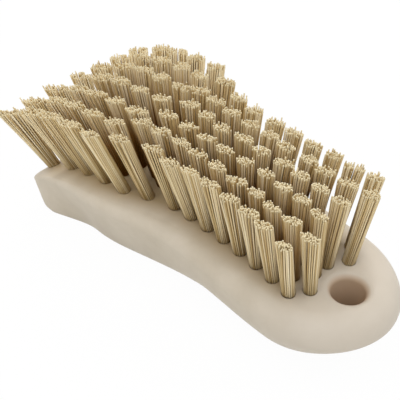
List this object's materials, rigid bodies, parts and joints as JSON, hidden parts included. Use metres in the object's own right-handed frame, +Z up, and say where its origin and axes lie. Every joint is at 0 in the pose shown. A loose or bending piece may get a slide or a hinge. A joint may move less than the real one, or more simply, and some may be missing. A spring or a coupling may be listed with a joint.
{
  "type": "cutting board brush",
  "caption": "Hand scrub brush for cutting boards: waisted plastic block with a wide toe, a hang hole in the heel and fanned, staggered tufts of stiff tan filament.",
  "frame": {"origin": "on the flat back, under the middle of the block's length", "axes": "+X along the block towards the hang hole, +Z up out of the bristle face, with the brush lying on its back"},
  "size_m": [0.163, 0.0678, 0.0546],
  "materials": {
    "block_plastic": "moulded ivory plastic with a fine matte skin",
    "filament": "stiff tan filament, cut square at the tips"
  },
  "bodies": {
    "root": {"block": "block_plastic", "tufts_handle_near": "filament", "tufts_handle_far": "filament", "tufts_shoulder": "filament", "tufts_toe": "filament"}
  },
  "joints": []
}
